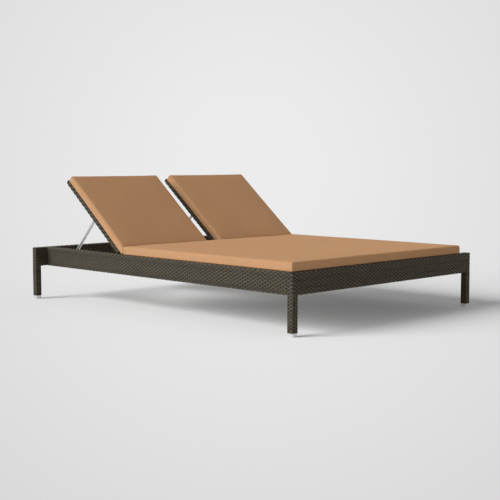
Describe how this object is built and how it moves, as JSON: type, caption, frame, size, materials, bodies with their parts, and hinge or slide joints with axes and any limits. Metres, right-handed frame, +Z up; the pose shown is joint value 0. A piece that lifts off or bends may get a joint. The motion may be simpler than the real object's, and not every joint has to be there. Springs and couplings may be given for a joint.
{
  "type": "double chaise lounger",
  "caption": "Wide patio lounger for sharing: low woven-clad frame on square legs, full-width seat cushion, side-by-side reclining backrests propped by hinged metal stays.",
  "frame": {"origin": "on the floor, at the centre of the footprint", "axes": "+X towards the foot end, +Y towards the far side of the picture, +Z up"},
  "size_m": [2, 1.516, 0.7154],
  "materials": {
    "wicker": "flat synthetic wicker strands in mottled dark brown and olive, satin",
    "cushion_fabric": "plain woven outdoor canvas, terracotta tan",
    "glide_metal": "satin, pale",
    "bare_aluminium": "mill finish extruded tube",
    "powder_coat": "fine-textured dark brown powder coat",
    "black_nylon": "moulded, matt",
    "pale_nylon": "moulded, satin",
    "rubber": "matt",
    "polished_steel": "polished stainless tube",
    "satin_steel": "satin stainless"
  },
  "bodies": {
    "frame": {"head_beam_weave": "wicker", "foot_beam_weave": "wicker", "near_rail_weave": "wicker", "far_rail_weave": "wicker", "head_beam_tubes": "bare_aluminium", "foot_beam_tubes": "bare_aluminium", "near_rail_tubes": "bare_aluminium", "far_rail_tubes": "bare_aluminium", "near_head_leg_tube": "bare_aluminium", "near_head_leg_weave": "wicker", "near_head_glide": "glide_metal", "far_head_leg_tube": "bare_aluminium", "far_head_leg_weave": "wicker", "far_head_glide": "glide_metal", "far_foot_leg_tube": "bare_aluminium", "far_foot_leg_weave": "wicker", "far_foot_glide": "glide_metal", "near_foot_leg_tube": "bare_aluminium", "near_foot_leg_weave": "wicker", "near_foot_glide": "glide_metal", "near_inner_rail": "powder_coat", "far_inner_rail": "powder_coat", "seat_cross_bar_1": "powder_coat", "seat_cross_bar_2": "powder_coat", "seat_cross_bar_3": "powder_coat", "seat_cross_bar_4": "powder_coat", "seat_deck_weave": "wicker", "rest_bumpers": "rubber", "frame_screws": "satin_steel", "seat_cushion": "cushion_fabric", "near_outer_rack": "black_nylon", "near_inner_rack": "black_nylon", "near_hinge_brackets": "satin_steel", "near_hinge_pins": "satin_steel", "far_outer_rack": "black_nylon", "far_inner_rack": "black_nylon", "far_hinge_brackets": "satin_steel", "far_hinge_pins": "satin_steel"},
    "near_backrest": {"near_backrest_weave": "wicker", "near_backrest_tubes": "bare_aluminium", "near_backrest_brace": "powder_coat", "near_hinge_bushes": "pale_nylon", "near_stay_brackets": "satin_steel", "near_stay_rivets": "satin_steel", "near_backrest_cushion": "cushion_fabric"},
    "near_stay": {"near_stay_outer_arm": "polished_steel", "near_stay_inner_arm": "polished_steel", "near_stay_bar": "polished_steel", "near_stay_bar_caps": "black_nylon"},
    "far_backrest": {"far_backrest_weave": "wicker", "far_backrest_tubes": "bare_aluminium", "far_backrest_brace": "powder_coat", "far_hinge_bushes": "pale_nylon", "far_stay_brackets": "satin_steel", "far_stay_rivets": "satin_steel", "far_backrest_cushion": "cushion_fabric"},
    "far_stay": {"far_stay_outer_arm": "polished_steel", "far_stay_inner_arm": "polished_steel", "far_stay_bar": "polished_steel", "far_stay_bar_caps": "black_nylon"}
  },
  "joints": [
    {"name": "near_recline", "type": "hinge", "parent": "frame", "child": "near_backrest", "pos_m": [-0.3038, -0.364, 0.3123], "axis": [0, 1, 0], "range_deg": [-39.25, 18.75]},
    {"name": "near_stay_pivot", "type": "hinge", "parent": "near_backrest", "child": "near_stay", "pos_m": [-0.54818, -0.364, 0.48356], "axis": [0, 1, 0], "range_deg": [-37.04, 77.33]},
    {"name": "far_recline", "type": "hinge", "parent": "frame", "child": "far_backrest", "pos_m": [-0.3038, 0.364, 0.3123], "axis": [0, 1, 0], "range_deg": [-39.25, 18.75]},
    {"name": "far_stay_pivot", "type": "hinge", "parent": "far_backrest", "child": "far_stay", "pos_m": [-0.54818, 0.364, 0.48356], "axis": [0, 1, 0], "range_deg": [-37.04, 77.33]}
  ],
  "couplings": [
    {"joint": "near_stay_pivot", "follows": "near_recline", "ratio": -1.965},
    {"joint": "far_stay_pivot", "follows": "far_recline", "ratio": -1.965}
  ]
}
